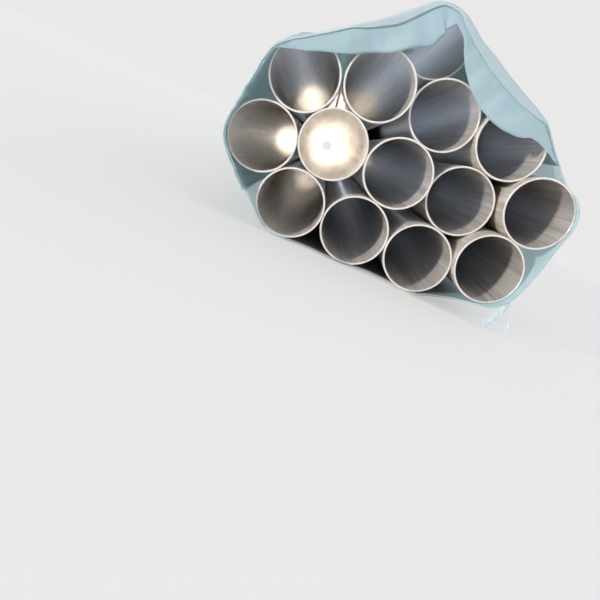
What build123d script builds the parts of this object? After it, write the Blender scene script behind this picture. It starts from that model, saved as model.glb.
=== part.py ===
# A bundle of fourteen stainless steel pipes. They lie in four uneven rows, wrapped in
# woven plastic sheet that is open at both ends, with flat steel straps over the wrap.
# Millimetres. The pipes run along +Y with their mouths facing -Y, +Z is up, and the
# origin is on the floor under the middle of the bundle.

import os
from math import atan2, cos, degrees, hypot, radians, sin, sqrt

from build123d import *

# Pipe
pipe_diameter = 114.3
pipe_wall = 3.05
pipe_length = 6000.0
pipe_gap = 0.3

# Stack: how steeply the first leaning pipe of a row stands over the pipe below it
second_row_lean = 76.5
third_row_lean = 74.5

# How far each pipe was pushed back along its length, row by row from the left
row_1_setbacks = (-8.0, -7.0, -10.0, -29.0)
row_2_setbacks = (0.0, 0.0, -6.0, 12.0, -25.0)
row_3_setbacks = (0.0, -2.0, 15.0, 0.0)
row_4_setbacks = (52.0,)

# Wrap
sheet_thickness = 1.0
sheet_gap = 0.3
rear_reach = 60.0

# How far the sheet's front edge stands before the mouths, at places round the bundle
reach_lower_left = 10.0
reach_below_middle = -4.0
reach_lower_right = 10.0
reach_raised_corner = 50.0
reach_right = 33.0
reach_left = 26.0

# Flap: the part of the sheet that hangs over the upper mouths
flap_stand = 9.0
flap_overrun = 30.0

# Straps
strap_count = 4
strap_width = 32.0
strap_thickness = 0.8
strap_gap = 0.3
first_strap = 750.0

# Seals that clinch the straps
seal_length = 44.0
seal_lip = 2.0
seal_cover = 1.4
seal_notch = 5.0
seal_notch_count = 2

pipe_radius = pipe_diameter / 2
pitch = pipe_diameter + pipe_gap


def lean_on(base, angle):
    """Centre of a pipe that touches one other, at an angle above the horizontal."""
    return (base[0] + pitch * cos(radians(angle)), base[1] + pitch * sin(radians(angle)))


def seat_between(left, right):
    """Centre of a pipe that rests on two others."""
    across = (right[0] - left[0], right[1] - left[1])
    half = hypot(*across) / 2
    rise = sqrt(pitch**2 - half**2)
    middle = ((left[0] + right[0]) / 2, (left[1] + right[1]) / 2)
    return (middle[0] - across[1] / (2 * half) * rise, middle[1] + across[0] / (2 * half) * rise)


def stack_rows():
    """Centres of the pipes, row by row from the left, from the first pipe's centre."""
    first = (0.0, 0.0)
    second = lean_on(first, 0)
    third = lean_on(second, 0)
    upper_second = lean_on(first, second_row_lean)
    upper_first = seat_between(first, upper_second)
    upper_third = seat_between(upper_second, second)
    upper_fourth = seat_between(upper_third, third)
    raised = seat_between(upper_fourth, third)
    top_second = lean_on(upper_second, third_row_lean)
    top_first = seat_between(upper_first, upper_second)
    top_third = seat_between(top_second, upper_third)
    top_fourth = seat_between(top_third, upper_fourth)
    upper_fifth = seat_between(top_fourth, raised)
    crown = seat_between(top_second, top_third)
    return [
        [first, second, third, raised],
        [upper_first, upper_second, upper_third, upper_fourth, upper_fifth],
        [top_first, top_second, top_third, top_fourth],
        [crown],
    ]


def hull(points):
    """Corners of the tightest loop round some points, anticlockwise."""
    points = sorted(points)

    def side(run):
        kept = []
        for point in run:
            while len(kept) > 1 and turn(kept[-2], kept[-1], point) <= 0:
                kept.pop()
            kept.append(point)
        return kept[:-1]

    return side(points) + side(points[::-1])


def turn(start, middle, end):
    """Above zero where three points turn to the left."""
    ahead = (middle[0] - start[0], middle[1] - start[1])
    beyond = (end[0] - middle[0], end[1] - middle[1])
    return ahead[0] * beyond[1] - ahead[1] * beyond[0]


rows = stack_rows()
centres = [centre for row in rows for centre in row]
corners = hull(centres)

# Reaches of the skins from the pipes' centres
sheet_inside = pipe_radius + sheet_gap
sheet_outside = sheet_inside + sheet_thickness
strap_inside = sheet_outside + strap_gap
strap_outside = strap_inside + strap_thickness

# The model is drawn about the first pipe's centre, then moved so that it stands on
# the floor with its middle over the origin
low_x = min(x for x, z in centres) - strap_outside
high_x = max(x for x, z in centres) + strap_outside
front_y = -max(reach_lower_left, reach_lower_right, reach_raised_corner, reach_right, reach_left, flap_stand)
rear_y = pipe_length + rear_reach
to_floor = Pos(-(low_x + high_x) / 2, -(front_y + rear_y) / 2, strap_outside)


def cross_section(at_y, sketch):
    """A sketch drawn in X and Z, stood up at a place along the pipes."""
    return Plane.XZ.offset(-at_y) * sketch


def taut_outline(reach):
    """The loop that a sheet pulled tight round the pipes makes."""
    return offset(Polygon(*corners, align=None), reach, kind=Kind.ARC)


def band(inside, outside, start, end):
    """A closed band round the whole bundle."""
    loop = taut_outline(outside) - taut_outline(inside)
    return extrude(cross_section(start, loop), start - end)


def pipe(centre, setback):
    """One sawn length of pipe."""
    ring = Circle(pipe_radius) - Circle(pipe_radius - pipe_wall)
    return extrude(cross_section(setback, Pos(*centre) * ring), -pipe_length)


def sheet_stops():
    """Places round the bundle with the sheet's reach before the mouths at each."""
    (first, second, third, raised), (upper_first, *_, upper_fifth) = rows[:2]
    reaches = {
        first: reach_lower_left,
        second: reach_below_middle,
        third: reach_lower_right,
        raised: reach_raised_corner,
        upper_fifth: reach_right,
        upper_first: reach_left,
    }
    stops = list(corners)
    stops.insert(stops.index(first) + 1, second)
    return [(stop, reaches.get(stop, flap_stand)) for stop in stops]


def side_of_sheet(start, end):
    """The flat stretch of sheet between two stops, with its front edge on a slant."""
    (centre, reach), (next_centre, next_reach) = start, end
    run = Vector(next_centre[0] - centre[0], 0, next_centre[1] - centre[1])
    along = run.normalized()
    outward = Vector(along.Z, 0, -along.X)
    seat = Vector(centre[0], 0, centre[1]) + outward * sheet_inside
    outline = Polygon(
        (0, -rear_y), (run.length, -rear_y), (run.length, next_reach), (0, reach), align=None
    )
    return extrude(Plane(seat, x_dir=along, z_dir=outward) * outline, sheet_thickness)


def turn_of_sheet(before, stop, after):
    """The round stretch of sheet over a corner pipe."""
    centre, reach = stop
    arriving = side_bearing(before[0], centre)
    bend = (side_bearing(centre, after[0]) - arriving) % 360
    outward = Vector(cos(radians(arriving)), 0, sin(radians(arriving)))
    seat = Vector(centre[0], 0, centre[1])
    outline = Polygon(
        (sheet_inside, -rear_y), (sheet_outside, -rear_y), (sheet_outside, reach), (sheet_inside, reach), align=None
    )
    side_view = Plane(seat, x_dir=outward, z_dir=outward.cross(Vector(0, -1, 0)))
    return revolve(side_view * outline, Axis(seat, (0, -1, 0)), bend)


def side_bearing(start, end):
    """Which way the outer face of a side looks, in degrees."""
    return degrees(atan2(start[0] - end[0], end[1] - start[1]))


def flap():
    """The sheet's front edge, folded down over the upper mouths."""
    _, _, (top_first, top_second, top_third, top_fourth), (crown,) = rows
    edge = [
        from_pipe(top_first, -1.0, 0.25),
        from_pipe(top_first, 0.25, 0.75),
        from_pipe(top_second, -0.75, 0.6),
        from_pipe(top_second, 0.1, 0.95),
        from_pipe(crown, -0.25, -0.4),
        from_pipe(crown, 0.15, 0.3),
        from_pipe(crown, 0.5, 0.15),
        from_pipe(top_third, -0.05, 1.25),
        from_pipe(top_third, 0.75, 0.6),
        from_pipe(top_fourth, -0.5, 0.27),
        from_pipe(top_fourth, 0.2, 0.28),
        from_pipe(top_fourth, 1.1, 0.1),
    ]
    top = max(z for x, z in corners) + sheet_outside + flap_overrun
    left = (low_x - flap_overrun, edge[0][1])
    right = (high_x + flap_overrun, edge[-1][1])
    lower = Spline(*edge)
    rest = Polyline(edge[-1], right, (right[0], top), (left[0], top), left, edge[0])
    cover = make_face([lower, *rest.edges()]) & taut_outline(sheet_outside)
    return extrude(cross_section(-flap_stand, cover), -sheet_thickness)


def from_pipe(centre, across, up):
    """A point near a pipe, given in pipe radii from its centre."""
    return (centre[0] + across * pipe_radius, centre[1] + up * pipe_radius)


def wrap():
    """The woven sheet: taut over the corner pipes, with an uneven front edge that is
    folded down over the upper mouths."""
    stops = sheet_stops()
    sheet = flap()
    for before, stop, after in zip(stops[-1:] + stops, stops, stops[1:] + stops[:1]):
        sheet += side_of_sheet(stop, after)
        if stop[0] in corners:
            sheet += turn_of_sheet(before, stop, after)
    return sheet


def seal(at_y):
    """A pressed sleeve over the strap's overlap, on the sloping side right of the crown."""
    crown = rows[3][0]
    shoulder = rows[2][3]
    slope = Vector(shoulder[0] - crown[0], 0, shoulder[1] - crown[1]).normalized()
    outward = Vector(-slope.Z, 0, slope.X)
    middle = (Vector(crown[0], 0, crown[1]) + Vector(shoulder[0], 0, shoulder[1])) / 2
    seat = middle + outward * strap_inside + Vector(0, at_y, 0)
    on_strap = Plane(seat, x_dir=slope, z_dir=outward)
    width = strap_width + 2 * (seal_lip + strap_gap)
    height = strap_thickness + strap_gap + seal_cover
    floor_up = (Align.CENTER, Align.CENTER, Align.MIN)
    body = Box(seal_length, width, height, align=floor_up)
    channel = Box(2 * seal_length, strap_width + 2 * strap_gap, strap_thickness + strap_gap, align=floor_up)
    notch = Cylinder(seal_notch / 2, 4 * height)
    spacing = seal_length / (seal_notch_count + 1)
    notches = [
        Pos(spacing * (place + 1) - seal_length / 2, edge * width / 2) * notch
        for place in range(seal_notch_count)
        for edge in (-1, 1)
    ]
    return on_strap * (body - channel - notches)


def strap_places():
    """Where the straps' front edges lie along the bundle, evenly spread."""
    spread = pipe_length - 2 * first_strap
    return [first_strap + spread * number / (strap_count - 1) for number in range(strap_count)]


def make_pieces():
    """Every piece of the bundle by name, standing on the floor."""
    pieces = {}
    setbacks = (row_1_setbacks, row_2_setbacks, row_3_setbacks, row_4_setbacks)
    for row_number, (row, pushed) in enumerate(zip(rows, setbacks), 1):
        for number, (centre, setback) in enumerate(zip(row, pushed), 1):
            pieces[f"pipe_{row_number}_{number}"] = pipe(centre, setback)
    pieces["wrap"] = wrap()
    for number, place in enumerate(strap_places(), 1):
        pieces[f"strap_{number}"] = band(strap_inside, strap_outside, place, place + strap_width)
        pieces[f"seal_{number}"] = seal(place + strap_width / 2)
    return {name: to_floor * piece for name, piece in pieces.items()}


if __name__ == "__main__":
    os.makedirs("parts", exist_ok=True)
    for name, piece in make_pieces().items():
        export_step(piece, f"parts/{name}.step")
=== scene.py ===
"""Dresses a bundle of stainless steel pipes: smooth pipes, a woven sheet wound round them
with its front edge folded over the upper mouths, loose tapes, straps and seals."""

import math
import random
from bisect import bisect_right

import bmesh
import bpy
from bpy.props import FloatProperty, FloatVectorProperty, IntProperty, PointerProperty
from mathutils import Matrix, Vector, noise
from mathutils.geometry import convex_hull_2d


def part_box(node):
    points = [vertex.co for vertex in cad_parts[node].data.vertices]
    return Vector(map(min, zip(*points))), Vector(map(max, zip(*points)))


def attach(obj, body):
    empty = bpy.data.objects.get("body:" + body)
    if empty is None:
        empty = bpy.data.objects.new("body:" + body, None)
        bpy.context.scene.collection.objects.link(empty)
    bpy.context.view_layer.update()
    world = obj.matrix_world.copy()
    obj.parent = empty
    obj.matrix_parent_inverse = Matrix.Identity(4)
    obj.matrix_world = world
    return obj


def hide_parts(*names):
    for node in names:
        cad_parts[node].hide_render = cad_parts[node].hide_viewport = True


bl_info = {
    "name": "Pipe bundle",
    "version": (1, 0, 0),
    "blender": (4, 5, 0),
    "location": "View3D > Sidebar > Pipe bundle",
    "description": "Models the pipes, the woven wrap, the straps and their seals",
    "category": "Object",
}

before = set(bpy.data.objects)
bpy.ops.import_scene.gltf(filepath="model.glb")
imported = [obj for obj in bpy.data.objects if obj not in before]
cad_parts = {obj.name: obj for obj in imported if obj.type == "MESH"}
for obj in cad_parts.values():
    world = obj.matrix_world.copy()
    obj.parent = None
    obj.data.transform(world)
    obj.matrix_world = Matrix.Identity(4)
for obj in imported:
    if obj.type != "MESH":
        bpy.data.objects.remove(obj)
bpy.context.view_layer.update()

MM = 0.001
BODY = "root"
PIPE_NODES = sorted(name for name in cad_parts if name.startswith("pipe_"))
STRAP_NODES = sorted(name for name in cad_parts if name.startswith("strap_"))
SEAL_NODES = sorted(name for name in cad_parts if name.startswith("seal_"))


def pipe_centre(node):
    """A pipe's axis, as X and Z."""
    low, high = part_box(node)
    return Vector(((low[0] + high[0]) / 2, (low[2] + high[2]) / 2))


CENTRES = {node: pipe_centre(node) for node in PIPE_NODES}
MOUTHS = {node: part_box(node)[0][1] for node in PIPE_NODES}
PIPE_RADIUS = (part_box("pipe_1_1")[1][0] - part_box("pipe_1_1")[0][0]) / 2
MOUTHS_Y = MOUTHS["pipe_3_1"]
SHEET_REAR_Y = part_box("wrap")[1][1]


class Loop:
    """The taut line round the bundle: straight from pipe to pipe and round each corner pipe."""

    def __init__(self, radius):
        names = list(CENTRES)
        order = [names[index] for index in convex_hull_2d([CENTRES[name] for name in names])]
        if self.signed_area(order) < 0:
            order.reverse()
        start = order.index("pipe_2_5")
        self.corners = order[start:] + order[:start]
        if "pipe_1_2" not in self.corners:
            self.corners.insert(self.corners.index("pipe_1_1") + 1, "pipe_1_2")
        self.stops = []
        self.arc_start = {}
        self.arc_end = {}
        length = 0.0
        for place, name in enumerate(self.corners):
            before = self.corners[place - 1]
            leaving = self.facing(name, self.after(name))
            bend = (leaving - self.facing(before, name) + 0.001) % math.tau - 0.001
            bend = max(bend, 0.0)
            self.arc_start[name] = length
            self.stops.append((length, "arc", name, leaving - bend))
            length += bend * radius
            self.arc_end[name] = length
            self.stops.append((length, "side", name, leaving))
            length += self.free_length(name)
        self.length = length
        self.radius = radius
        self.starts = [stop[0] for stop in self.stops]

    @staticmethod
    def signed_area(order):
        pairs = zip(order, order[1:] + order[:1])
        return sum(CENTRES[a].x * CENTRES[b].y - CENTRES[b].x * CENTRES[a].y for a, b in pairs)

    @staticmethod
    def facing(start, end):
        """The outward direction of the side between two corners, as an angle."""
        run = CENTRES[end] - CENTRES[start]
        return math.atan2(-run.x, run.y)

    def after(self, name):
        return self.corners[(self.corners.index(name) + 1) % len(self.corners)]

    def free_length(self, name):
        return (CENTRES[self.after(name)] - CENTRES[name]).length

    def at(self, distance):
        """The place on the pipes' centre lines at a distance round the loop."""
        distance %= self.length
        begun, kind, name, angle = self.stops[bisect_right(self.starts, distance) - 1]
        if kind == "arc":
            turned = angle + (distance - begun) / self.radius
            normal = Vector((math.cos(turned), math.sin(turned)))
            return Spot(CENTRES[name], normal, 0.0, 0.0, MOUTHS[name], MOUTHS[name], 0.0)
        normal = Vector((math.cos(angle), math.sin(angle)))
        along = Vector((-normal.y, normal.x))
        free = self.free_length(name)
        share = (distance - begun) / free
        after = self.after(name)
        mouth = MOUTHS[name] + (MOUTHS[after] - MOUTHS[name]) * share
        beside = MOUTHS[name] if share < 0.5 else MOUTHS[after]
        aside = min(share, 1 - share) * free
        base = CENTRES[name] + along * (distance - begun)
        return Spot(base, normal, share, free, mouth, beside, aside)

    def place(self, name, share):
        """A distance round the loop: a share of the side after a corner pipe, or back into
        the pipe's own arc where the share is below 0."""
        if share < 0:
            return self.arc_end[name] + share * (self.arc_end[name] - self.arc_start[name])
        return self.arc_end[name] + share * self.free_length(name)


class Spot:
    """A place on the taut line."""

    def __init__(self, base, normal, share, free, mouth, beside, aside):
        self.base = base
        self.normal = normal
        self.free = free
        self.between = math.sin(math.pi * share) if free else 0.0
        self.mouth = mouth
        self.beside = beside
        self.room = PIPE_RADIUS - math.sqrt(max(PIPE_RADIUS**2 - aside**2, 0.0))

    def out(self, reach, y):
        """The point that stands a reach outside the pipes' centre line."""
        return Vector((self.base.x + self.normal.x * reach, y, self.base.y + self.normal.y * reach))


LOOP = Loop(PIPE_RADIUS)


class Course:
    """A smooth line through a few stations: for each corner pipe, shares and their values."""

    def __init__(self, stations, turns=0):
        self.places, self.values = [], []
        for name, pairs in stations.items():
            self.places += [LOOP.place(name, share) + turns * LOOP.length for share, value in pairs]
            self.values += [value for share, value in pairs]

    def at(self, place):
        if place <= self.places[0]:
            return self.values[0]
        if place >= self.places[-1]:
            return self.values[-1]
        index = bisect_right(self.places, place) - 1
        step = self.places[index + 1] - self.places[index]
        share = (place - self.places[index]) / step
        rise = self.values[index + 1] - self.values[index]
        enter = self.slope(index) * step
        leave = self.slope(index + 1) * step
        bend = enter * share * (1 - share) ** 2 - leave * share**2 * (1 - share)
        return self.values[index] + rise * share**2 * (3 - 2 * share) + bend

    def slope(self, index):
        """The gentler of the two neighbouring slopes, or none at a peak."""
        before = self.rise(max(index - 1, 0))
        after = self.rise(min(index, len(self.places) - 2))
        if before * after <= 0:
            return 0.0
        return min(before, after, key=abs)

    def rise(self, index):
        run = self.places[index + 1] - self.places[index]
        return (self.values[index + 1] - self.values[index]) / run


def ease(value):
    """0 below 0, 1 above 1 and smooth between."""
    value = min(max(value, 0.0), 1.0)
    return value * value * (3 - 2 * value)


class Shade:
    """A shader value that takes part in plain arithmetic."""

    def __init__(self, recipe, socket):
        self.recipe = recipe
        self.socket = socket

    def math(self, operation, first, second=0.5):
        return self.recipe.add("ShaderNodeMath", {"operation": operation}, {0: first, 1: second})

    def __add__(self, other):
        return self.math("ADD", self, other)

    __radd__ = __add__

    def __sub__(self, other):
        return self.math("SUBTRACT", self, other)

    def __rsub__(self, other):
        return self.math("SUBTRACT", other, self)

    def __mul__(self, other):
        return self.math("MULTIPLY", self, other)

    __rmul__ = __mul__

    def __pow__(self, other):
        return self.math("POWER", self, other)

    def part(self, index):
        """One of the values that a separating node gives."""
        return Shade(self.recipe, self.socket.node.outputs[index])


class Recipe:
    """The nodes of one material."""

    def __init__(self, tree):
        self.tree = tree
        self.tree.nodes.clear()

    @classmethod
    def material(cls, name):
        item = bpy.data.materials.new(name)
        item.use_nodes = True
        recipe = cls(item.node_tree)
        recipe.item = item
        return recipe

    def add(self, kind, settings, inputs, out=0):
        """One node, with its settings made first, then its inputs filled or linked."""
        node = self.tree.nodes.new(kind)
        for name, value in settings.items():
            setattr(node, name, value)
        for name, value in inputs.items():
            if isinstance(value, Shade):
                self.tree.links.new(value.socket, node.inputs[name])
            elif value is not None:
                node.inputs[name].default_value = value
        return Shade(self, node.outputs[out]) if node.outputs else node

    def place(self, output="Object", scale=(1, 1, 1), turn=(0, 0, 0)):
        """Object or UV coordinates, scaled and turned."""
        point = self.add("ShaderNodeTexCoord", {}, {}, out=output)
        inputs = {"Vector": point, "Scale": scale, "Rotation": turn}
        return self.add("ShaderNodeMapping", {}, inputs)

    def noise(self, point, scale, detail=4.0, roughness=0.55):
        inputs = {"Vector": point, "Scale": scale, "Detail": detail, "Roughness": roughness}
        return self.add("ShaderNodeTexNoise", {}, inputs)

    def remap(self, value, low, high, new_low=0.0, new_high=1.0):
        ends = {"From Min": low, "From Max": high, "To Min": new_low, "To Max": new_high}
        return self.add("ShaderNodeMapRange", {"clamp": True}, {"Value": value, **ends})

    def blend(self, share, first, second):
        inputs = {0: share, 6: first, 7: second}
        return self.add("ShaderNodeMix", {"data_type": "RGBA"}, inputs, out=2)

    def seen(self):
        """1 where the camera sees a place, also in metal or through glass."""
        path = self.add("ShaderNodeLightPath", {}, {}, out="Is Camera Ray")
        outputs = path.socket.node.outputs
        glossy = Shade(self, outputs["Is Glossy Ray"])
        passed = Shade(self, outputs["Is Transmission Ray"])
        return self.remap(path + glossy + passed, 0.0, 1.0)

    def attribute(self, name):
        return self.add("ShaderNodeAttribute", {"attribute_name": name}, {}, out="Fac")

    def bump(self, height, distance, strength=1.0, normal=None):
        inputs = {"Height": height, "Distance": distance, "Strength": strength, "Normal": normal}
        return self.add("ShaderNodeBump", {}, inputs)

    def principled(self, inputs):
        return self.add("ShaderNodeBsdfPrincipled", {}, inputs)

    def metal(self, base, metallic, rough, normal):
        """Finishes a metal."""
        inputs = {"Base Color": base, "Metallic": metallic, "Roughness": rough, "Normal": normal}
        return self.finish(self.principled(inputs))

    def finish(self, surface, kind="ShaderNodeOutputMaterial"):
        self.add(kind, {}, {"Surface": surface})
        return getattr(self, "item", None)


def rgba(colour, gain=1.0):
    return tuple(channel * gain for channel in colour) + (1.0,)


def steel_material(name, colour, look, roughness):
    """Pickled stainless steel: matt, streaked along the pipe, clouded and stained."""
    recipe = Recipe.material(name)
    streaks = recipe.noise(recipe.place(scale=(1, 0.012, 1)), 260.0, 5.0)
    clouds = recipe.noise(recipe.place(scale=(1, 0.25, 1)), 14.0, 5.0)
    scale_marks = recipe.noise(recipe.place(scale=(1, 0.12, 1)), 75.0, 6.0, 0.66)
    scale_marks = recipe.remap(scale_marks, 0.6, 0.7)
    stains = recipe.noise(recipe.place(scale=(1, 0.35, 1)), 42.0, 6.0, 0.62)
    stains = recipe.remap(stains, 0.56, 0.72)
    drawn = recipe.remap(recipe.noise(recipe.place(scale=(1, 0.02, 1)), 95.0, 6.0, 0.7), 0.5, 0.68)
    base = recipe.blend(recipe.remap(streaks, 0.35, 0.65), rgba(colour, 0.8), rgba(colour, 1.14))
    base = recipe.blend(drawn * 0.45, base, rgba(look.steel_stain))
    base = recipe.blend(recipe.remap(clouds, 0.35, 0.7) * 0.35, base, rgba(look.steel_warm))
    base = recipe.blend(stains * 0.25, base, rgba(look.steel_stain))
    base = recipe.blend(scale_marks * 0.35, base, rgba(look.steel_stain))
    rough = recipe.remap(streaks, 0.3, 0.7, roughness - 0.08, roughness + 0.08)
    normal = recipe.bump(streaks, 0.25 * MM, 0.5)
    return recipe.metal(base, 0.55, rough, normal)


def rim_material(look):
    """Sawn and deburred pipe end: brighter, with fine cross marks."""
    recipe = Recipe.material("sawn_rim")
    marks = recipe.noise(recipe.place(scale=(1, 1, 0.08), turn=(0, 0.6, 0)), 900.0, 3.0)
    dirt = recipe.remap(recipe.noise(recipe.place(), 60.0, 4.0), 0.52, 0.75)
    base = recipe.blend(recipe.remap(marks, 0.3, 0.7), rgba(look.rim, 0.88), rgba(look.rim, 1.05))
    base = recipe.blend(dirt * 0.3, base, rgba(look.steel_stain))
    normal = recipe.bump(marks, 0.1 * MM, 0.5)
    return recipe.metal(base, 0.5, 0.45, normal)


def weave(recipe, tape):
    """Which tape lies on top in a plain weave along the sheet's own map, and its height."""
    point = recipe.place("UV", (1 / tape, 1 / tape, 1))
    across = recipe.add("ShaderNodeSeparateXYZ", {}, {0: point})
    along = across.part(1)
    warp = across.math("SINE", across * math.pi)
    weft = along.math("SINE", along * math.pi)
    over = recipe.remap(warp * weft, -0.25, 0.25)
    height = over * across.math("ABSOLUTE", warp) + (1 - over) * along.math("ABSOLUTE", weft)
    return over, height**0.6


def sheet_material(name, look, tapes, deep, light, shade):
    """Woven plastic sheet: creased, dusty and see-through, with a painted near-white highlight
    along its front fold and painted shade on its underside.
    """
    recipe = Recipe.material(name)
    over, height = weave(recipe, look.tape)
    patches = recipe.noise(recipe.place("UV", (1, 0.3, 1)), 9.0, 5.0)
    lines = recipe.noise(recipe.place("UV", (1, 0.02, 1)), 140.0, 3.0)
    dust = recipe.remap(recipe.noise(recipe.place("UV"), 5.0, 7.0, 0.65), 0.46, 0.72)
    creases = recipe.noise(recipe.place("UV", (1, 0.6, 1)), 34.0, 5.0, 0.6)
    furrows = recipe.noise(recipe.place("UV", (0.2, 1, 1)), 55.0, 4.0, 0.55)
    base = recipe.blend(recipe.remap(patches, 0.3, 0.7), rgba(deep), rgba(tapes))
    base = recipe.blend(recipe.remap(lines, 0.35, 0.65) * 0.3, base, rgba(light))
    base = recipe.blend(over * 0.14, base, rgba(light))
    base = recipe.blend(dust * 0.3, base, rgba(look.dust))
    # Painted highlight: the front fold and the outer layer's lip lightened towards near-white, as
    # where they catch the light
    base = recipe.blend(recipe.attribute("selvedge") * 0.7, base, rgba(look.selvedge))
    # Painted shade: the underside darkened towards grey where it lies near the floor
    base = recipe.blend(recipe.attribute("soil") * 0.9, base, rgba(look.soil))
    normal = recipe.bump(height, 0.12 * MM, 0.55)
    normal = recipe.bump(creases, 1.2 * MM, 0.55, normal)
    normal = recipe.bump(furrows, 1.6 * MM, 0.4, normal)
    rough = recipe.remap(dust, 0, 1, 0.42, 0.6)
    shine = recipe.principled({"Base Color": base, "Roughness": rough, "Normal": normal})
    passed = [0.25 * tape + 0.75 * behind for tape, behind in zip(tapes, shade)]
    glow = recipe.add("ShaderNodeBsdfTranslucent", {}, {"Color": rgba(passed), "Normal": normal})
    # Less light passes through the sheet where the underside's painted shade lies
    share = (1 - recipe.attribute("soil") * 0.9) * look.see_through
    mixed = recipe.add("ShaderNodeMixShader", {}, {0: share, 1: shine, 2: glow})
    return recipe.finish(mixed)


def strap_material(look):
    """Zinc-coated steel strapping, dull and scuffed in patches."""
    recipe = Recipe.material("zinc_strapping")
    rolled = recipe.noise(recipe.place(), 420.0, 3.0)
    spangle = recipe.noise(recipe.place(), 70.0, 5.0)
    scuffs = recipe.remap(recipe.noise(recipe.place(scale=(1, 0.2, 1)), 110.0, 6.0), 0.56, 0.68)
    shine = recipe.remap(spangle, 0.3, 0.7)
    base = recipe.blend(shine, rgba(look.strap, 0.85), rgba(look.strap, 1.15))
    base = recipe.blend(scuffs * 0.4, base, rgba(look.strap, 1.7))
    normal = recipe.bump(rolled, 0.1 * MM, 0.4)
    rough = recipe.remap(spangle, 0.3, 0.7, 0.34, 0.5)
    return recipe.metal(base, 0.9, rough, normal)


def seal_material(look):
    """Pressed steel of the seals, worn bright in patches."""
    recipe = Recipe.material("pressed_seal")
    grain = recipe.noise(recipe.place(), 300.0, 4.0)
    wear = recipe.remap(recipe.noise(recipe.place(), 90.0, 5.0), 0.5, 0.7)
    base = recipe.blend(wear * 0.6, rgba(look.seal, 0.9), rgba(look.seal, 1.25))
    normal = recipe.bump(grain, 0.1 * MM, 0.5)
    rough = recipe.remap(grain, 0.3, 0.7, 0.3, 0.48)
    return recipe.metal(base, 0.9, rough, normal)


def add_piece(name, mesh, materials):
    """A new object that rides with the bundle and takes its finish from a material slot."""
    piece = bpy.data.objects.new(name, mesh)
    bpy.context.collection.objects.link(piece)
    for material in materials:
        mesh.materials.append(material)
    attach(piece, BODY)
    return piece


def mesh_from(shape, name, sharp=180):
    """A smooth mesh whose edges over a given bend stay sharp."""
    for edge in shape.edges:
        edge.smooth = edge.calc_face_angle(0) < math.radians(sharp)
    for face in shape.faces:
        face.smooth = True
    mesh = bpy.data.meshes.new(name)
    shape.to_mesh(mesh)
    shape.free()
    return mesh


def tint(name, words, colour):
    return FloatVectorProperty(name=name, description=words, subtype="COLOR", default=colour)


def size(name, words, metres):
    return FloatProperty(name=name, description=words, default=metres, unit="LENGTH")


class PipeSettings(bpy.types.PropertyGroup):
    steps: IntProperty(name="Steps", description="Facets round each pipe", default=96, min=24)
    wall: size("Wall", "Thickness of the pipe's wall", 3.05 * MM)
    deburr: size("Deburr", "Width of the filed edge", 0.35 * MM)
    weld: size("Weld", "Height of the weld bead inside", 0.3 * MM)
    steel: tint("Steel", "Colour of the pickled steel", (0.66, 0.62, 0.57))
    bore: tint("Bore", "Colour of the steel inside", (0.6, 0.58, 0.56))
    steel_warm: tint("Warm steel", "Colour of its warmer clouds", (0.62, 0.56, 0.49))
    steel_stain: tint("Stain", "Colour of stains and dirt", (0.3, 0.27, 0.24))
    rim: tint("Rim", "Colour of the sawn ends", (0.66, 0.62, 0.58))


class SheetSettings(bpy.types.PropertyGroup):
    thickness: size("Thickness", "Thickness of the sheet", 0.3 * MM)
    tape: size("Tape", "Width of one woven tape", 2.6 * MM)
    see_through: FloatProperty(
        name="See-through", description="Share of light that passes", default=0.6, subtype="FACTOR",
    )
    sheet: tint("Sheet", "Colour of the sheet", (0.55, 0.7, 0.8))
    sheet_deep: tint("Deep", "Colour of its deeper patches", (0.46, 0.63, 0.71))
    sheet_light: tint("Light", "Colour of its lighter tapes", (0.68, 0.79, 0.86))
    sheet_shade: tint("Shade", "Colour of the light that passes out", (0.82, 0.89, 0.88))
    lining: tint("Lining", "Colour of the sheet's inner face", (0.24, 0.46, 0.45))
    lining_deep: tint("Deep lining", "Colour of its deeper patches", (0.2, 0.38, 0.39))
    lining_light: tint("Light lining", "Colour of its lighter tapes", (0.34, 0.53, 0.54))
    lining_shade: tint("Lining shade", "Colour of the light that passes in", (0.98, 0.96, 1.0))
    # Colour of the painted highlight along the front fold, not of a woven edge
    selvedge: tint("Selvedge", "Colour of its woven edge", (0.62, 0.68, 0.7))
    dust: tint("Dust", "Colour of the dust on it", (0.64, 0.69, 0.72))
    # Colour of the painted shade on the underside, not of dirt
    soil: tint("Soil", "Colour of the dirt on its underside", (0.2, 0.2, 0.21))


class StrapSettings(bpy.types.PropertyGroup):
    strap: tint("Strap", "Colour of the strapping", (0.33, 0.34, 0.35))
    seal: tint("Seal", "Colour of the seals", (0.5, 0.5, 0.49))
    tail: size("Tail", "Strapping left past the seal", 0.09)


class StageSettings(bpy.types.PropertyGroup):
    backdrop: tint("Backdrop", "Colour of the floor and the air", (0.82, 0.815, 0.81))
    lens: FloatProperty(
        name="Lens", description="Focal length of the camera", default=33.76, unit="CAMERA",
    )
    eye_back: size("Eye back", "Camera before the mouths", 0.9364)
    eye_right: size("Eye right", "Camera right of the first pipe", 0.0171)
    eye_up: size("Eye up", "Camera above the first pipe", 0.1052)


SETTINGS = {
    "bundle_pipes": PipeSettings,
    "bundle_sheet": SheetSettings,
    "bundle_straps": StrapSettings,
    "bundle_stage": StageSettings,
}


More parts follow.
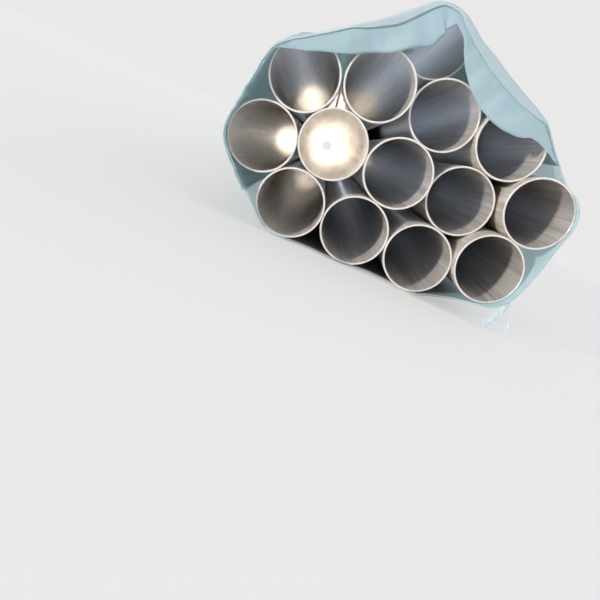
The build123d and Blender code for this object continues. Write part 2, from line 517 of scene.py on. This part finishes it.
class BUNDLE_OT_pipes(bpy.types.Operator):
    """Turns each pipe: a thin ring with filed edges and a weld bead along its inside"""

    bl_idname = "bundle.pipes"
    bl_label = "Pipes"

    def execute(self, context):
        look = context.scene.bundle_pipes
        materials = [
            steel_material("pickled_steel", look.steel, look, 0.5),
            steel_material("steel_bore", look.bore, look, 0.44),
            rim_material(look),
        ]
        dice = random.Random(14)
        for node in PIPE_NODES:
            mesh = self.turn_pipe(node, look, dice.uniform(0, math.tau))
            piece = add_piece(f"{node}_smooth", mesh, materials)
            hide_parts(node)
        return {"FINISHED"}

    @staticmethod
    def turn_pipe(node, look, weld_angle):
        low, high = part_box(node)
        axis = CENTRES[node]
        inner = PIPE_RADIUS - look.wall
        cut = look.deburr
        profile = [
            (PIPE_RADIUS - cut, low[1]),
            (PIPE_RADIUS, low[1] + cut),
            (PIPE_RADIUS, high[1] - cut),
            (PIPE_RADIUS - cut, high[1]),
            (inner + cut, high[1]),
            (inner, high[1] - cut),
            (inner, low[1] + cut),
            (inner + cut, low[1]),
        ]
        shape = bmesh.new()
        ring = []
        for radius, y in profile:
            out = Vector((math.cos(weld_angle), math.sin(weld_angle))) * radius
            ring.append(shape.verts.new((axis.x + out.x, y, axis.y + out.y)))
        edges = [shape.edges.new(pair) for pair in zip(ring, ring[1:] + ring[:1])]
        bmesh.ops.spin(
            shape, geom=ring + edges, cent=(axis.x, 0, axis.y), axis=(0, 1, 0),
            angle=math.tau, steps=look.steps, use_merge=True,
        )
        bmesh.ops.remove_doubles(shape, verts=shape.verts, dist=0.01 * MM)
        bmesh.ops.recalc_face_normals(shape, faces=shape.faces)
        for vert in shape.verts:
            out = Vector((vert.co.x - axis.x, vert.co.z - axis.y))
            angle = (math.atan2(out.y, out.x) - weld_angle) % math.tau
            if out.length < inner + cut / 2 and min(angle, math.tau - angle) < math.pi / look.steps:
                bead = out.normalized() * look.weld
                vert.co.x -= bead.x
                vert.co.z -= bead.y
        for face in shape.faces:
            middle = face.calc_center_median()
            radius = math.hypot(middle.x - axis.x, middle.z - axis.y)
            if abs(face.normal.y) > 0.5:
                face.material_index = 2
            elif radius < inner + cut:
                face.material_index = 1
        return mesh_from(shape, node, sharp=25)


def reach_course():
    """How far the sheet's front fold stands before the mouths, round the bundle."""
    return Course({
        "pipe_2_5": (
            (-1.0, 32.0), (-0.5, 33.0), (0.0, 33.0), (0.16, 15.0), (0.32, 9.5), (0.6, 8.0),
        ),
        "pipe_3_1": ((-0.7, 8.0), (-0.3, 14.0), (0.1, 30.0), (0.66, 25.0)),
        "pipe_2_1": ((-0.95, 12.0), (-0.4, 20.0), (0.43, 27.0), (0.86, 23.0)),
        "pipe_1_1": ((-0.88, 19.0), (-0.46, 8.0), (0.02, 12.0), (0.5, 2.0)),
        "pipe_1_2": ((0.0, 9.0), (0.3, 0.0), (0.85, -4.0)),
        "pipe_1_3": ((-0.46, 5.0), (0.05, 22.0), (0.5, 23.0), (0.85, 39.0)),
        "pipe_1_4": ((-0.9, 50.0), (0.1, 49.0), (0.35, 46.0), (0.64, 39.0), (0.97, 32.0)),
    })


def droop_course():
    """How far the sheet has dropped inwards at its front fold."""
    return Course({
        "pipe_2_5": ((0.0, 0.0), (0.4, 1.0), (0.75, 4.0)),
        "pipe_3_4": ((-0.5, 3.0), (0.2, 2.5), (0.39, 4.8), (0.6, 8.5), (0.79, 15.2)),
        "pipe_4_1": (
            (-0.97, 18.0), (-0.55, 19.5), (-0.1, 15.0), (0.12, 11.0), (0.4, 10.0), (0.68, 7.5),
        ),
        "pipe_3_1": ((-0.85, 5.0), (-0.1, 0.0)),
        "pipe_1_1": ((0.1, 0.5), (0.5, 1.5)),
        "pipe_1_2": ((0.0, 0.0), (0.6, 2.0)),
        "pipe_1_3": ((0.0, 0.0),),
    })


def flap_course():
    """Depth of the inner layer's free edge below the taut line, where it hangs over the mouths."""
    return Course({
        "pipe_2_5": ((0.5, 4.0), (0.77, 15.7), (0.89, 22.4)),
        "pipe_3_4": (
            (-0.4, 38.0), (0.08, 53.0), (0.17, 60.0), (0.39, 64.4), (0.58, 60.9), (0.69, 55.0),
            (0.8, 46.5), (0.92, 35.5),
        ),
        "pipe_4_1": (
            (-0.97, 35.3), (-0.81, 42.0), (-0.4, 52.0), (0.02, 60.0), (0.092, 68.5),
            (0.2, 63.5), (0.32, 60.0), (0.56, 49.2), (0.68, 44.5), (0.83, 32.8),
        ),
        "pipe_3_1": ((-1.0, 22.5), (-0.5, 15.5), (-0.06, 2.5)),
    })


def lip_course():
    """Depth of the outer layer's free edge, a short lip before the flap, made pale by the painted
    highlight.
    """
    return Course({
        "pipe_2_5": ((0.5, 2.0),),
        "pipe_3_4": (
            (-0.5, 6.0), (0.12, 14.5), (0.27, 18.0), (0.43, 22.0), (0.6, 25.5), (0.73, 28.0),
            (0.92, 29.0),
        ),
        "pipe_4_1": (
            (-0.71, 24.0), (-0.35, 22.0), (0.0, 20.0), (0.12, 22.5), (0.27, 25.5), (0.41, 21.5),
            (0.68, 11.0),
        ),
        "pipe_3_1": ((-0.7, 7.0), (0.0, 2.0)),
    }, turns=1)


def bunch_course():
    """Height of the small pleats that the sheet is gathered into at its front."""
    return Course({
        "pipe_2_5": ((0.3, 0.3),),
        "pipe_3_1": ((-0.5, 0.4), (0.3, 2.2), (0.8, 2.4)),
        "pipe_2_1": ((-0.5, 0.9), (0.4, 2.6), (0.8, 2.0)),
        "pipe_1_1": ((-0.4, 0.5), (0.6, 0.3)),
    })


class Sheet:
    """Where each point of the wound sheet lies, from its place round the bundle and its row."""

    fine_length = 0.26
    fine_rows = 42
    strap_rows = (0.0, 0.017, 0.03, 0.05, 0.08, 0.13, 0.2)
    fold_radius = 3.5
    fold_rows = (0.06, 0.14, 0.24, 0.36, 0.5, 0.64, 0.78, 0.9, 1.0)
    row_step = 0.14
    close_columns = 5.4 * MM
    far_columns = 12.0 * MM
    near = 0.65
    layer_gap = 0.75
    edge_turn = 2.5
    droop_length = 0.13
    bunch_length = 0.2
    rear_wander = 14 * MM

    def __init__(self, strap_places):
        self.start = LOOP.place("pipe_2_5", 0.5)
        self.end = LOOP.length + LOOP.place("pipe_2_1", 0.55)
        self.reach = reach_course()
        self.droop = droop_course()
        self.flap = flap_course()
        self.lip = lip_course()
        self.bunch = bunch_course()
        self.straps = strap_places
        self.rows = [("long", y) for y in self.lay_long_rows()]
        self.rows += [("front", number / self.fine_rows) for number in range(self.fine_rows + 1)]
        self.rows += [("fold", share) for share in self.fold_rows]
        self.columns = self.lay_columns()

    def lay_long_rows(self):
        """Rows from the rear to near the front: close together beside the straps."""
        front = MOUTHS_Y + self.fine_length
        rows = {SHEET_REAR_Y, SHEET_REAR_Y - 0.02}
        for strap in self.straps:
            rows.update(strap + side * offset for side in (-1, 1) for offset in self.strap_rows)
        rows = sorted(rows, reverse=True)
        spread = []
        for high, low in zip(rows, rows[1:] + [front]):
            parts = max(1, math.ceil((high - low) / self.row_step))
            spread += [high + (low - high) * number / parts for number in range(parts)]
        return spread

    def lay_columns(self):
        """Places of the columns: close together over the crown and down the left side."""
        places = [self.start]
        while places[-1] < self.end - 0.002:
            around = places[-1] % LOOP.length
            close = LOOP.place("pipe_3_4", -0.9) < around < LOOP.place("pipe_1_1", 0.0)
            step = self.close_columns if close else self.far_columns
            places.append(min(places[-1] + step, self.end))
        return places

    def outer(self, distance):
        """1 on the outer turn and 0 on the inner one, eased over a short ramp."""
        return ease((distance - LOOP.length - self.start + 0.03) / 0.05)

    def slack(self, spot, around, y):
        """How far the sheet stands off the taut line in mm: sag, rolls and ripples."""
        long_free = ease((spot.free - 0.13) / 0.05)
        held = min(abs(y - place) for place in self.straps)
        loose = ease(held / 0.16)
        roll = noise.noise(Vector((around * 5.0, y * 0.9, 2.0)))
        ripple = noise.noise(Vector((around * 22.0, y * 3.1, 7.0)))
        pucker = noise.noise(Vector((around * 60.0, y * 1.5, 11.0)))
        sag = -spot.between * (1.2 + 4.5 * long_free) * (0.5 + 0.5 * loose)
        sag += spot.between * long_free * 3.0 * roll * loose
        crumple = (0.9 + ripple) * 0.8 * loose * (0.35 + 0.65 * spot.between)
        pull = (1 + pucker) * 0.7 * ease(held / 0.02) * ease((0.22 - held) / 0.2)
        return sag + crumple + pull

    def skin(self, distance, y, crease_y):
        """A point on the sheet's body, which drops once it is past the pipes' mouths."""
        spot = LOOP.at(distance)
        around = distance % LOOP.length
        stand = self.slack(spot, around, y)
        if not spot.free:
            stand = max(stand, 0.0)
        free_from = spot.mouth + self.droop_length * spot.between
        ahead = ease((free_from - y) / max(free_from - crease_y, 0.004))
        stand -= self.droop.at(around) * ahead
        gather = noise.noise(Vector((around * 85.0, y * 2.2, 13.0)))
        gather += 0.5 * noise.noise(Vector((around * 170.0, y * 5.0, 15.0)))
        bunched = ease((MOUTHS_Y + self.bunch_length - y) / self.bunch_length)
        stand += (0.6 + gather) * self.bunch.at(around) * bunched
        stand += noise.noise(Vector((around * 13.0, y * 6.0, 5.0))) * 2.0 * ahead
        if y > spot.beside - 0.004:
            stand = max(stand, -spot.room / MM)
        outer = self.outer(distance)
        stand += self.near + (self.layer_gap + 1.6 * ahead) * outer
        return spot.out(PIPE_RADIUS + stand * MM, y)

    def crease_y(self, distance):
        """Where along the bundle the sheet's front fold lies."""
        around = distance % LOOP.length
        wobble = noise.noise(Vector((around * 18.0, 3.0, 1.0))) * 1.6
        wobble += noise.noise(Vector((around * 70.0, 5.0, 4.0))) * 0.6
        return MOUTHS_Y - (self.reach.at(around) + wobble + 2.5 * self.outer(distance)) * MM

    def hang(self, distance):
        """Length of the sheet past its fold, in mm."""
        around = distance % LOOP.length
        outer = self.outer(distance)
        inner = self.flap.at(distance) if distance < LOOP.length else 2.0
        depth = inner * (1 - outer) + self.lip.at(distance) * outer
        ragged = noise.noise(Vector((distance * 40.0, 9.0, 6.0))) * 1.2
        return max(depth + 2.0 - self.droop.at(around) + ragged, self.edge_turn)

    def rear_y(self, distance):
        """The sheet's rear edge, cut by hand and so not quite straight."""
        wander = noise.noise(Vector((distance * 6.0, 8.0, 2.0)))
        return SHEET_REAR_Y - (0.5 + wander) * self.rear_wander

    def at(self, distance, row):
        kind, value = row
        crease_y = self.crease_y(distance)
        if kind == "fold":
            return self.past_fold(distance, value, crease_y)
        return self.skin(distance, self.along(distance, row), crease_y)

    def past_fold(self, distance, share, crease_y):
        """A point on the part that turns over the fold and hangs before the mouths."""
        crease = self.skin(distance, crease_y, crease_y)
        normal = LOOP.at(distance).normal
        length = self.hang(distance) * MM
        radius = min(self.fold_radius * MM, length / 2)
        travelled = share * length
        turned = min(travelled / radius, math.pi / 2)
        inwards = radius * (1 - math.cos(turned)) + max(travelled - radius * math.pi / 2, 0)
        ahead = radius * math.sin(turned)
        around = distance % LOOP.length
        sway = noise.noise(Vector((around * 16.0, travelled * 12.0, 8.0)))
        pleat = noise.noise(Vector((around * 45.0, travelled * 30.0, 3.0)))
        furrow = noise.noise(Vector((around * 7.0, travelled * 38.0, 21.0)))
        ahead += (sway * 5.0 + pleat * 2.4 + furrow * 3.0 + 1.5) * MM * ease(travelled / (30 * MM))
        aside = normal * inwards
        return Vector((crease.x - aside.x, crease_y - ahead, crease.z - aside.y))

    def along(self, distance, row):
        """Distance along the sheet, for its map and for the rows before its fold."""
        kind, value = row
        crease_y = self.crease_y(distance)
        if kind == "long":
            return min(value, self.rear_y(distance))
        if kind == "front":
            y = MOUTHS_Y + self.fine_length
            return y + (crease_y - y) * value
        return crease_y - value * self.hang(distance) * MM

    def selvedge(self, distance, row):
        """How much painted highlight a place takes along the sheet's front fold, left off where the
        underside's painted shade lies.
        """
        kind, value = row
        clean = 1 - self.soil(distance)
        if kind == "fold":
            return max(self.outer(distance), 1 - value * self.hang(distance) / 7) * clean
        if kind == "front":
            return ease((value - 0.965) / 0.035) * 0.8 * clean
        return 0.0

    def soil(self, distance):
        """How much painted shade darkens a place on the sheet's underside, where it lies near the
        floor.
        """
        around = distance % LOOP.length
        under = ease((around - LOOP.place("pipe_1_1", -0.3)) / 0.06)
        return under * ease((LOOP.place("pipe_1_4", -1.0) - around) / 0.08)


def strap_middles():
    return [(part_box(node)[0][1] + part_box(node)[1][1]) / 2 for node in STRAP_NODES]


class BUNDLE_OT_wrap(bpy.types.Operator):
    """Winds the woven sheet round the pipes and folds its front edge over the upper mouths"""

    bl_idname = "bundle.wrap"
    bl_label = "Woven wrap"

    tape_roots = (-0.47, -0.43, -0.4, -0.37, -0.33)
    tape_lengths = (0.045, 0.08)
    tape_steps = 22
    tape_thickness = 0.12 * MM

    def execute(self, context):
        look = context.scene.bundle_sheet
        materials = [
            sheet_material(
                "woven_sheet", look,
                look.sheet, look.sheet_deep, look.sheet_light, look.sheet_shade,
            ),
            sheet_material(
                "sheet_lining", look,
                look.lining, look.lining_deep, look.lining_light, look.lining_shade,
            ),
        ]
        sheet = Sheet(strap_middles())
        loose = self.fray(sheet, look.tape)
        tapes = add_piece("frayed_tapes", loose, materials[:1])
        piece = add_piece("woven_wrap", self.wind(sheet), materials)
        body = piece.modifiers.new("Body", "SOLIDIFY")
        body.thickness = look.thickness
        body.offset = 0
        body.material_offset = 1
        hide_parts("wrap")
        sheet.end - sheet.start
        return {"FINISHED"}

    @staticmethod
    def wind(sheet):
        across = len(sheet.columns) - 1
        up = len(sheet.rows) - 1
        shape = bmesh.new()
        bmesh.ops.create_grid(shape, x_segments=across, y_segments=up, size=0.5)
        chart = shape.loops.layers.uv.new("UVMap")
        # Vertex weights for the painted highlight along the fold and the painted shade on the
        # underside
        selvedge = shape.verts.layers.float.new("selvedge")
        soil = shape.verts.layers.float.new("soil")
        flat = {}
        for vert in shape.verts:
            distance = sheet.columns[round((vert.co.x + 0.5) * across)]
            row = sheet.rows[round((vert.co.y + 0.5) * up)]
            vert.co = sheet.at(distance, row)
            vert[selvedge] = sheet.selvedge(distance, row)
            vert[soil] = sheet.soil(distance)
            flat[vert] = (distance, sheet.along(distance, row))
        for face in shape.faces:
            for corner in face.loops:
                corner[chart].uv = flat[corner.vert]
        return mesh_from(shape, "wrap")

    def fray(self, sheet, tape_width):
        """Loose tapes that have pulled out of the front edge and hang down to the floor."""
        dice = random.Random(7)
        shape = bmesh.new()
        chart = shape.loops.layers.uv.new("UVMap")
        count = self.tape_steps
        for share in self.tape_roots:
            distance = LOOP.place("pipe_1_4", share)
            root = sheet.at(distance, ("front", 1.0))
            length = dice.uniform(*self.tape_lengths)
            heading = Vector((dice.uniform(0.3, 0.7), dice.uniform(-0.5, 0.1), 0))
            line = [root]
            way = Vector((heading.x * 0.3, heading.y * 0.3, -1)).normalized()
            for number in range(count):
                if line[-1].z < 3 * MM:
                    way = (way + Vector((heading.x, heading.y, 0.2))).normalized()
                way = (way + Vector([dice.uniform(-0.22, 0.22) for axis in range(3)])).normalized()
                step = line[-1] + way * length / count
                step.z = max(step.z, 0.6 * MM)
                line.append(step)
            turn = dice.uniform(0, math.pi)
            width = tape_width * dice.uniform(0.5, 1.0)
            turns = [turn := turn + dice.uniform(-0.15, 0.25) for point in line]
            tape = bmesh.ops.create_grid(shape, x_segments=1, y_segments=count, size=0.5)["verts"]
            for vert in tape:
                side, row = vert.co.x, round((vert.co.y + 0.5) * count)
                for corner in vert.link_loops:
                    corner[chart].uv = (side * width, row * length / count)
                across = Vector((math.cos(turns[row]), math.sin(turns[row]), 0.15)) * width
                vert.co = line[row] + across * side
        bmesh.ops.solidify(shape, geom=shape.faces[:], thickness=self.tape_thickness)
        bmesh.ops.recalc_face_normals(shape, faces=shape.faces)
        return mesh_from(shape, "tapes", sharp=40)


class BUNDLE_OT_straps(bpy.types.Operator):
    """Runs each flat steel strap round the wrap, with its tail left past the seal"""

    bl_idname = "bundle.straps"
    bl_label = "Straps"

    thickness = 0.8 * MM
    edge = 0.12 * MM
    overlap = 0.03
    tail_lift = 3.0 * MM
    tail_bend = 0.05
    steps = 420

    def execute(self, context):
        look = context.scene.bundle_straps
        material = strap_material(look)
        for node in STRAP_NODES:
            mesh = self.run_strap(node, look.tail)
            piece = add_piece(f"{node}_rolled", mesh, [material])
            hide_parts(node)
        return {"FINISHED"}

    def run_strap(self, node, tail):
        low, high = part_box(node)
        thickness, edge = self.thickness, self.edge
        outside = LOOP.at(LOOP.place("pipe_1_1", 0.3)).base.y - low[2]
        start = LOOP.place("pipe_3_4", 0.5) - self.overlap
        end = start + self.overlap + LOOP.length + tail
        section = [
            (low[1] + edge, -thickness), (low[1], -thickness + edge),
            (low[1], -edge), (low[1] + edge, 0),
            (high[1] - edge, 0), (high[1], -edge),
            (high[1], -thickness + edge), (high[1] - edge, -thickness),
        ]
        sides = len(section)
        shape = bmesh.new()
        bmesh.ops.create_grid(shape, x_segments=sides, y_segments=self.steps, size=0.5)
        for vert in shape.verts:
            y, depth = section[round((vert.co.x + 0.5) * sides) % sides]
            distance = start + (end - start) * (vert.co.y + 0.5)
            spot = LOOP.at(distance)
            doubled = ease((distance - start - LOOP.length + self.overlap) / self.overlap)
            lift = doubled * (thickness + 0.05 * MM)
            lift += self.tail_lift * ease((distance - end + self.tail_bend) / self.tail_bend)
            vert.co = spot.out(outside + depth + lift, y)
        bmesh.ops.remove_doubles(shape, verts=shape.verts, dist=0.01 * MM)
        bmesh.ops.holes_fill(shape, edges=shape.edges[:], sides=sides)
        bmesh.ops.recalc_face_normals(shape, faces=shape.faces)
        return mesh_from(shape, node, sharp=30)


class BUNDLE_OT_seals(bpy.types.Operator):
    """Presses a notched sleeve over the overlap of each strap"""

    bl_idname = "bundle.seals"
    bl_label = "Seals"

    length = 44 * MM
    top = 2.35 * MM
    bend = 1.5 * MM
    thickness = 0.9 * MM
    notch_half = 3 * MM
    notch_depth = 2.6 * MM
    notch_dip = 0.5 * MM

    def execute(self, context):
        look = context.scene.bundle_straps
        material = seal_material(look)
        for node in SEAL_NODES:
            piece = add_piece(f"{node}_pressed", self.press(node), [material])
            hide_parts(node)
        return {"FINISHED"}

    def press(self, node):
        low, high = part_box(node)
        spot = LOOP.at(LOOP.place("pipe_3_4", 0.5))
        along = Vector((-spot.normal.y, spot.normal.x))
        middle_y = (low[1] + high[1]) / 2
        half_width = (high[1] - low[1]) / 2 - 0.2 * MM
        length, top, bend = self.length, self.top, self.bend
        strap_inside = PIPE_RADIUS + 1.6 * MM
        flat_half = half_width - bend
        leg = top - bend
        developed = flat_half + bend * math.pi / 2 + leg
        shape = bmesh.new()
        bmesh.ops.create_grid(shape, x_segments=56, y_segments=40, size=0.5)
        for vert in shape.verts:
            run = vert.co.x * length
            across = vert.co.y * 2 * developed
            side = math.copysign(1, across)
            way = abs(across)
            if way < flat_half:
                out, height = way, top
            elif way < flat_half + bend * math.pi / 2:
                angle = (way - flat_half) / bend
                out, height = flat_half + bend * math.sin(angle), top - bend * (1 - math.cos(angle))
            else:
                out, height = half_width, leg - (way - flat_half - bend * math.pi / 2)
            from_notch = min(abs(run - length / 6), abs(run + length / 6))
            notch = ease(1 - from_notch / self.notch_half)
            out -= notch * self.notch_depth * ease((way - flat_half + 4 * MM) / (6 * MM))
            if height > leg:
                height -= notch * self.notch_dip * ease((way - flat_half + 9 * MM) / (9 * MM))
            place = spot.base + along * run + spot.normal * (strap_inside + height)
            vert.co = (place.x, middle_y + side * out, place.y)
        bmesh.ops.recalc_face_normals(shape, faces=shape.faces)
        bmesh.ops.solidify(shape, geom=shape.faces[:], thickness=self.thickness)
        bmesh.ops.recalc_face_normals(shape, faces=shape.faces)
        return mesh_from(shape, node, sharp=40)


WARM = (1.0, 0.88, 0.74)
PLAIN = (1.0, 0.97, 0.95)
COOL = (0.66, 0.79, 1.0)

# Light that comes down the pipes and the gaps between them: row and place of the pipe or
# the pipes round the gap, the depths where it starts and ends, watts a metre and colour
DAYLIGHT = (
    ("1_1", 0.02, 1.2, 0.013, PLAIN),
    ("1_1", 0.75, 5.9, 0.12, WARM),
    ("1_2", 0.02, 1.6, 0.011, COOL),
    ("1_2", 1.0, 4.0, 0.04, PLAIN),
    ("1_3", 0.02, 0.7, 0.009, COOL),
    ("1_4", 0.02, 0.4, 0.006, COOL),
    ("2_1", 0.02, 1.0, 0.036, PLAIN),
    ("2_1", 1.05, 5.0, 0.38, WARM),
    ("2_2", 0.05, 0.4, 0.12, WARM),
    ("2_2", 0.35, 0.8, 0.3, WARM),
    ("2_2", 0.8, 5.9, 0.58, WARM),
    ("2_3", 0.02, 1.4, 0.026, COOL),
    ("2_3", 0.95, 3.0, 0.07, WARM),
    ("2_4", 0.02, 0.6, 0.021, COOL),
    ("2_5", 0.02, 0.4, 0.015, COOL),
    ("3_1", 0.02, 0.9, 0.052, COOL),
    ("3_1", 0.85, 4.5, 0.26, WARM),
    ("3_2", 0.02, 0.8, 0.07, COOL),
    ("3_2", 0.7, 4.0, 0.1, WARM),
    ("3_3", 0.02, 1.0, 0.05, COOL),
    ("3_4", 0.02, 0.45, 0.04, COOL),
    ("4_1", 0.02, 1.2, 0.11, COOL),
    ("2_2 3_1 3_2", 0.1, 3.0, 0.6, PLAIN),
    ("1_1 2_1 2_2", 0.01, 0.4, 0.03, COOL),
    ("2_1 2_2 3_1", 0.01, 0.4, 0.03, COOL),
    ("1_1 1_2 2_2 2_3", 0.01, 0.7, 0.07, COOL),
    ("1_2 1_3 2_3 2_4", 0.01, 0.5, 0.024, COOL),
    ("2_2 2_3 3_2 3_3", 0.01, 0.5, 0.07, COOL),
    ("2_3 2_4 3_3 3_4", 0.01, 0.5, 0.036, COOL),
    ("3_2 3_3 4_1", 0.01, 0.4, 0.03, COOL),
)


class BUNDLE_OT_stage(bpy.types.Operator):
    """Sets the pale floor, the air, the lamps and the camera"""

    bl_idname = "bundle.stage"
    bl_label = "Stage"

    def execute(self, context):
        stage = context.scene.bundle_stage
        self.lay_floor(stage)
        self.fill_air(stage)
        self.hang_suns()
        self.light_bores(stage)
        self.set_camera(context.scene, stage)
        context.scene.view_settings.view_transform = "Standard"
        return {"FINISHED"}

    @staticmethod
    def lay_floor(stage):
        shape = bmesh.new()
        bmesh.ops.create_circle(shape, cap_ends=True, segments=64, radius=60)
        bmesh.ops.translate(shape, verts=shape.verts, vec=(0, 0, -0.2 * MM))
        floor = bpy.data.objects.new("floor", mesh_from(shape, "floor"))
        bpy.context.collection.objects.link(floor)
        recipe = Recipe.material("pale_floor")
        matt = recipe.add("ShaderNodeBsdfDiffuse", {}, {"Color": (0.68, 0.67, 0.66, 1.0)})
        backdrop = {"Color": rgba(stage.backdrop), "Strength": 1.0}
        plain = recipe.add("ShaderNodeEmission", {}, backdrop)
        mixed = recipe.add("ShaderNodeMixShader", {}, {0: recipe.seen() * 0.55, 1: matt, 2: plain})
        floor.data.materials.append(recipe.finish(mixed))

    @staticmethod
    def fill_air(stage):
        world = bpy.data.worlds.new("studio_air")
        bpy.context.scene.world = world
        world.use_nodes = True
        recipe = Recipe(world.node_tree)
        light = {"Color": (0.9, 0.95, 1.0, 1.0), "Strength": 0.9}
        ambient = recipe.add("ShaderNodeBackground", {}, light)
        backdrop = {"Color": rgba(stage.backdrop), "Strength": 1.0}
        seen = recipe.add("ShaderNodeBackground", {}, backdrop)
        mixed = recipe.add("ShaderNodeMixShader", {}, {0: recipe.seen(), 1: ambient, 2: seen})
        recipe.finish(mixed, "ShaderNodeOutputWorld")

    @staticmethod
    def add_lamp(name, kind, place, towards, colour, **settings):
        lamp = bpy.data.lights.new(name, kind)
        lamp.color = colour
        for setting, value in settings.items():
            setattr(lamp, setting, value)
        item = bpy.data.objects.new(name, lamp)
        item.location = place
        item.rotation_euler = Vector(towards).to_track_quat("-Z", "Y").to_euler()
        bpy.context.collection.objects.link(item)
        return item

    def hang_suns(self):
        """A low warm key from the left front, a cool fill along the pipes, soft light from
        above and light from behind that comes through the sheet."""
        suns = {
            "left_key": ((0.8, 0.57, -0.1), (1.0, 0.93, 0.86), 3.8, 6.0),
            "front_fill": ((-0.02, 1.0, -0.05), (0.84, 0.91, 1.0), 0.5, 40.0),
            "overhead": ((-0.25, 0.25, -1.0), (1.0, 0.99, 0.97), 0.45, 70.0),
            "right_back": ((-0.7, -0.55, -0.35), (0.9, 0.97, 1.0), 1.3, 50.0),
        }
        for name, (towards, colour, strength, spread) in suns.items():
            place = (0, MOUTHS_Y, 2)
            spread = math.radians(spread)
            self.add_lamp(name, "SUN", place, towards, colour, energy=strength, angle=spread)

    def light_bores(self, stage):
        """Thin lamps along the pipes, each turned to the wall that the camera sees."""
        eye = CENTRES["pipe_1_1"] + Vector((stage.eye_right, stage.eye_up))
        for number, (names, near, far, power, colour) in enumerate(DAYLIGHT):
            nodes = [f"pipe_{name}" for name in names.split()]
            centre = sum((CENTRES[node] for node in nodes), Vector((0, 0))) / len(nodes)
            aside = centre - eye
            aims = [aside.normalized()]
            if len(nodes) > 1:
                aims.append(-aims[0])
            elif aside.length < PIPE_RADIUS:
                across = aims[0].orthogonal()
                aims += [across, -aims[0], -across]
            for aim in aims:
                place = (centre.x, MOUTHS_Y + (near + far) / 2, centre.y)
                length = far - near
                lamp = self.add_lamp(
                    f"daylight_{number}", "AREA", place, (aim.x, 0, aim.y), colour,
                    shape="RECTANGLE", size=0.004, size_y=length, energy=power * length / len(aims),
                )
                across = Vector((0, 1, 0)).cross(Vector((-aim.x, 0, -aim.y)))
                turned = Matrix((across, (0, 1, 0), (-aim.x, 0, -aim.y))).transposed()
                lamp.rotation_euler = turned.to_euler()
                lamp.visible_camera = False

    @staticmethod
    def set_camera(scene, stage):
        eye = bpy.data.cameras.new("camera")
        eye.lens = stage.lens
        eye.clip_end = 200
        camera = bpy.data.objects.new("camera", eye)
        first = CENTRES["pipe_1_1"]
        camera.location = (
            first.x + stage.eye_right,
            MOUTHS_Y - stage.eye_back,
            first.y + stage.eye_up,
        )
        camera.rotation_euler = [math.radians(angle) for angle in (73.6, -23.19, 2.776)]
        bpy.context.collection.objects.link(camera)
        scene.camera = camera


class BUNDLE_PT_panel(bpy.types.Panel):
    """Lists the steps that make the bundle"""

    bl_label = "Pipe bundle"
    bl_idname = "BUNDLE_PT_panel"
    bl_space_type = "VIEW_3D"
    bl_region_type = "UI"
    bl_category = "Pipe bundle"

    def draw(self, context):
        for step in STEPS:
            self.layout.operator(step.bl_idname)


STEPS = (BUNDLE_OT_stage, BUNDLE_OT_pipes, BUNDLE_OT_wrap, BUNDLE_OT_straps, BUNDLE_OT_seals)


def register():
    for name, group in SETTINGS.items():
        bpy.utils.register_class(group)
        setattr(bpy.types.Scene, name, PointerProperty(type=group))
    for step in STEPS:
        bpy.utils.register_class(step)
    bpy.utils.register_class(BUNDLE_PT_panel)


def unregister():
    bpy.utils.unregister_class(BUNDLE_PT_panel)
    for step in reversed(STEPS):
        bpy.utils.unregister_class(step)
    for name, group in SETTINGS.items():
        delattr(bpy.types.Scene, name)
        bpy.utils.unregister_class(group)


def main():
    register()
    for step in STEPS:
        group, name = step.bl_idname.split(".")
        getattr(getattr(bpy.ops, group), name)()


if __name__ == "__main__":
    main()
